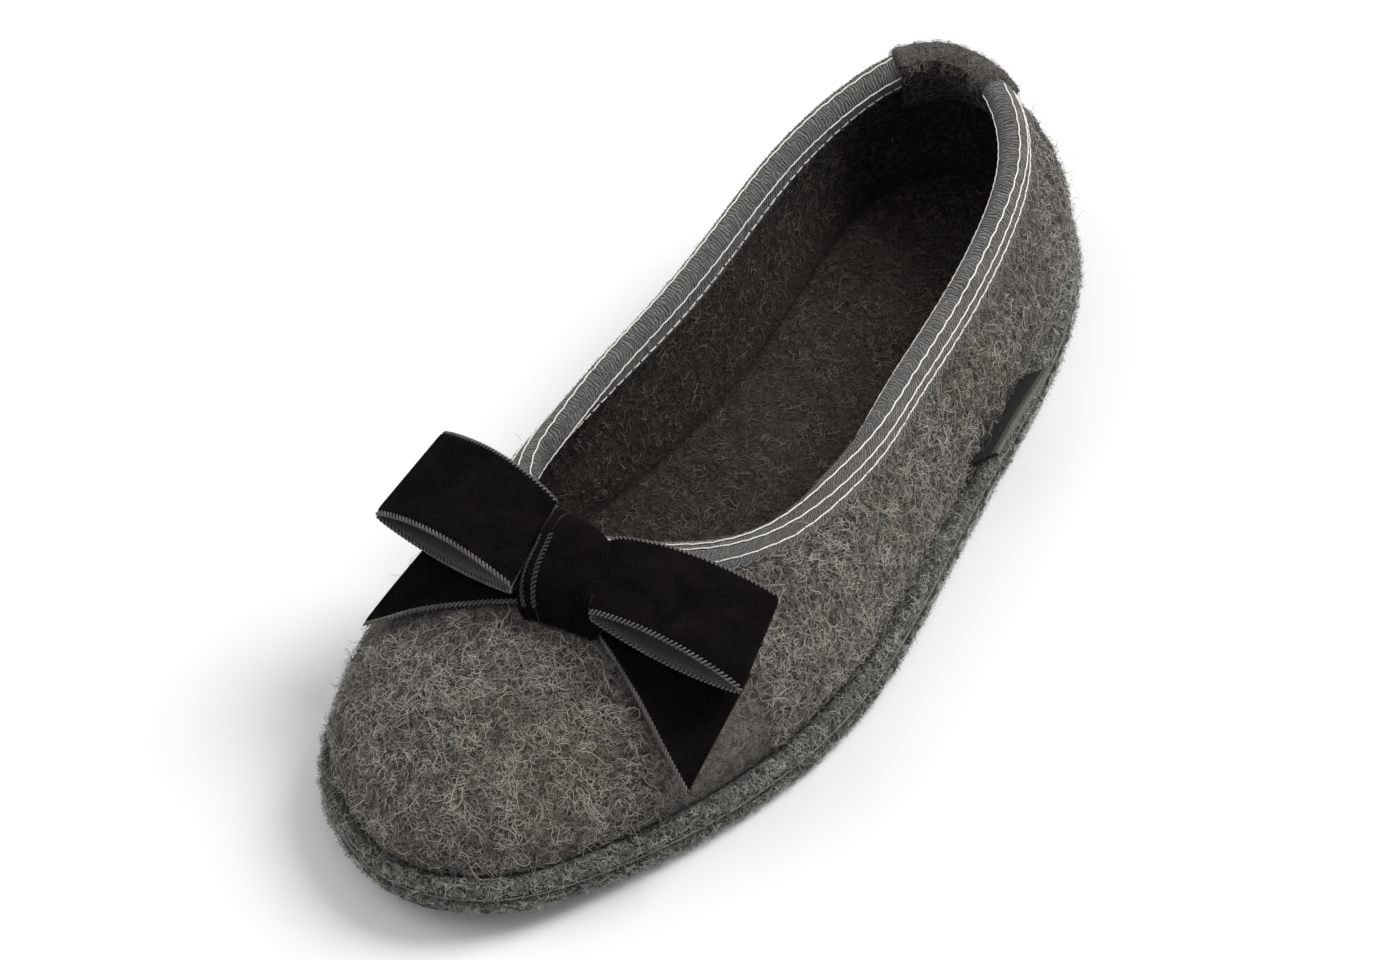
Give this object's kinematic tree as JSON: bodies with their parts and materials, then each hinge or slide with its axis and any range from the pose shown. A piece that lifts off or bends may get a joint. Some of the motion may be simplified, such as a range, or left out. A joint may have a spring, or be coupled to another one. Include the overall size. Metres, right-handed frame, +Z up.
{
  "type": "felt slipper",
  "caption": "Low-cut ballerina slipper of boiled wool felt with a rounded toe, rib-taped and stitched collar, heel tab, velvet ribbon bow and a thin felt sole with a scalloped edge",
  "frame": {"origin": "Centre of the slipper's outline on the floor that it stands on", "axes": "+Z up, toe to -Y, heel to +Y, outer side of the foot to +X"},
  "size_m": [0.1041, 0.2548, 0.0551],
  "materials": {
    "boiled_wool": "felted, curly loose fibres",
    "edge_felt": "dense dark felt",
    "sole_felt": "dense dark felt, knobbly edge",
    "footbed_felt": "matt felt",
    "rib_tape": "knitted cross ribs",
    "velvet": "short pile velvet with picot selvedge",
    "label_satin": "plain satin"
  },
  "bodies": {
    "root": {"outsole": "sole_felt", "rand": "edge_felt", "insole": "footbed_felt", "upper": "boiled_wool", "collar_tape": "rib_tape", "heel_tab": "boiled_wool", "bow_knot": "velvet", "bow_loop_left": "velvet", "bow_loop_right": "velvet", "bow_tail_left": "velvet", "bow_tail_right": "velvet", "side_tag": "label_satin"}
  },
  "joints": []
}
